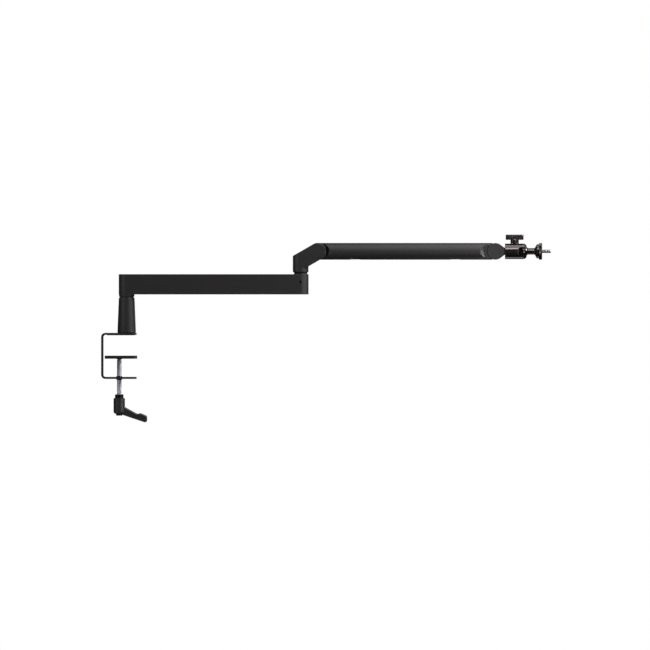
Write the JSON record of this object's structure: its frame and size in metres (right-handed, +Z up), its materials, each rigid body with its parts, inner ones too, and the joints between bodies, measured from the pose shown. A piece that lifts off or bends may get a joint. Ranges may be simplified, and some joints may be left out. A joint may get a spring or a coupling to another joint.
{
  "type": "microphone boom arm",
  "caption": "Low desk boom arm with a C-clamp, swivelling lower arm and elbow, tilting round upper arm and a locking ball head with a threaded stud for a microphone.",
  "frame": {"origin": "on the axis of the post, at the underside of the upper jaw's pad, where it rests on the desk", "axes": "+Z up, +X along both arms towards the microphone, +Y away from the viewer of the picture"},
  "size_m": [0.7846, 0.052, 0.3275],
  "materials": {
    "satin_black_paint": "satin black powder coat",
    "dark_steel": "black oxide",
    "zinc_steel": "smooth zinc plate",
    "soft_rubber": "matt",
    "black_plastic": "fine matt",
    "bearing_plastic": "smooth, slightly waxy",
    "gloss_knob": "moulded gloss"
  },
  "bodies": {
    "clamp": {"clamp_bracket": "satin_black_paint", "jaw_pad": "soft_rubber", "clamp_nut": "zinc_steel", "post": "satin_black_paint", "post_screws": "dark_steel", "post_upper_bush": "bearing_plastic", "post_lower_bush": "bearing_plastic"},
    "pressure_plate": {"pressure_plate": "dark_steel", "pressure_pad": "soft_rubber"},
    "clamp_screw": {"clamp_screw": "zinc_steel", "lever_insert": "dark_steel", "lever_screw": "dark_steel", "lever_spring": "zinc_steel"},
    "clamp_lever": {"clamp_lever": "black_plastic"},
    "lower_arm": {"lower_arm_channel": "satin_black_paint", "pivot_block": "satin_black_paint", "base_spigot": "zinc_steel", "spigot_bolt": "dark_steel", "elbow_upper_bush": "bearing_plastic", "elbow_lower_bush": "bearing_plastic", "friction_screw": "dark_steel", "friction_pad": "bearing_plastic", "elbow_plug": "black_plastic"},
    "lower_cover": {"lower_cover": "black_plastic"},
    "elbow": {"elbow": "satin_black_paint", "elbow_pivot": "zinc_steel", "pivot_washer": "dark_steel", "pivot_bolt": "dark_steel", "hinge_axle": "dark_steel", "hinge_nut": "dark_steel", "hinge_spring": "dark_steel", "hinge_washers": "bearing_plastic", "hinge_caps": "black_plastic"},
    "upper_arm": {"upper_tube": "satin_black_paint", "elbow_end_fitting": "satin_black_paint", "head_end_fitting": "satin_black_paint", "hinge_bush": "bearing_plastic", "head_bush": "bearing_plastic", "tube_screws": "dark_steel"},
    "upper_cover": {"upper_cover": "black_plastic"},
    "head_knuckle": {"head_knuckle": "satin_black_paint", "head_axle": "dark_steel", "head_spring": "dark_steel", "head_washers": "bearing_plastic", "head_cap": "black_plastic", "head_stud": "zinc_steel"},
    "ball_housing": {"ball_housing": "satin_black_paint", "housing_base": "satin_black_paint", "ball_cup": "bearing_plastic"},
    "clamp_knob": {"knob_grip": "gloss_knob", "knob_screw": "zinc_steel"},
    "ball_stud": {"ball_stud": "satin_black_paint"},
    "mic_plate": {"mic_plate": "satin_black_paint", "plate_pad": "soft_rubber", "mic_stud": "zinc_steel"}
  },
  "joints": [
    {"name": "clamp_travel", "type": "slide", "parent": "clamp", "child": "pressure_plate", "axis": [0, 0, 1], "range_m": [-0.02625, 0.025]},
    {"name": "clamp_screw_turn", "type": "hinge", "parent": "pressure_plate", "child": "clamp_screw", "pos_m": [-0.013, 0, -0.08], "axis": [0, 0, 1], "range_deg": [-7560, 7200]},
    {"name": "lever_lift", "type": "slide", "parent": "clamp_screw", "child": "clamp_lever", "axis": [0, 0, -1], "range_m": [0, 0.004], "stiffness_N_per_m": 800, "springref_m": -0.008, "deforming": ["lever_spring"]},
    {"name": "base_swivel", "type": "hinge", "parent": "clamp", "child": "lower_arm", "pos_m": [0, 0, 0.0669], "axis": [0, 0, 1], "continuous": true},
    {"name": "lower_cover_lift", "type": "slide", "parent": "lower_arm", "child": "lower_cover", "axis": [0, 0, -1], "range_m": [-0.05, 0]},
    {"name": "elbow_swivel", "type": "hinge", "parent": "lower_arm", "child": "elbow", "pos_m": [0.3035, 0, 0.1082], "axis": [0, 0, 1], "continuous": true},
    {"name": "arm_tilt", "type": "hinge", "parent": "elbow", "child": "upper_arm", "pos_m": [0.3332, 0, 0.1465], "axis": [0, -1, 0], "range_deg": [-30, 60]},
    {"name": "upper_cover_drop", "type": "slide", "parent": "upper_arm", "child": "upper_cover", "axis": [0, 0, -1], "range_m": [0, 0.05]},
    {"name": "head_tilt", "type": "hinge", "parent": "upper_arm", "child": "head_knuckle", "pos_m": [0.6434, 0, 0.1465], "axis": [0, -1, 0], "range_deg": [-60, 60]},
    {"name": "ball_head_turn", "type": "hinge", "parent": "head_knuckle", "child": "ball_housing", "pos_m": [0.66, 0, 0.1465], "axis": [1, 0, 0], "continuous": true},
    {"name": "knob_turn", "type": "hinge", "parent": "ball_housing", "child": "clamp_knob", "pos_m": [0.6769, 0, 0.1604], "axis": [0, 0, 1], "range_deg": [0, 360]},
    {"name": "ball_tilt", "type": "hinge", "parent": "ball_housing", "child": "ball_stud", "pos_m": [0.6915, 0, 0.1465], "axis": [0, 0, -1], "range_deg": [-20, 90]},
    {"name": "ball_spin", "type": "hinge", "parent": "ball_stud", "child": "mic_plate", "pos_m": [0.719, 0, 0.1465], "axis": [1, 0, 0], "continuous": true}
  ],
  "couplings": [
    {"joint": "clamp_screw_turn", "follows": "clamp_travel", "rad_per_m": 5026.5}
  ]
}
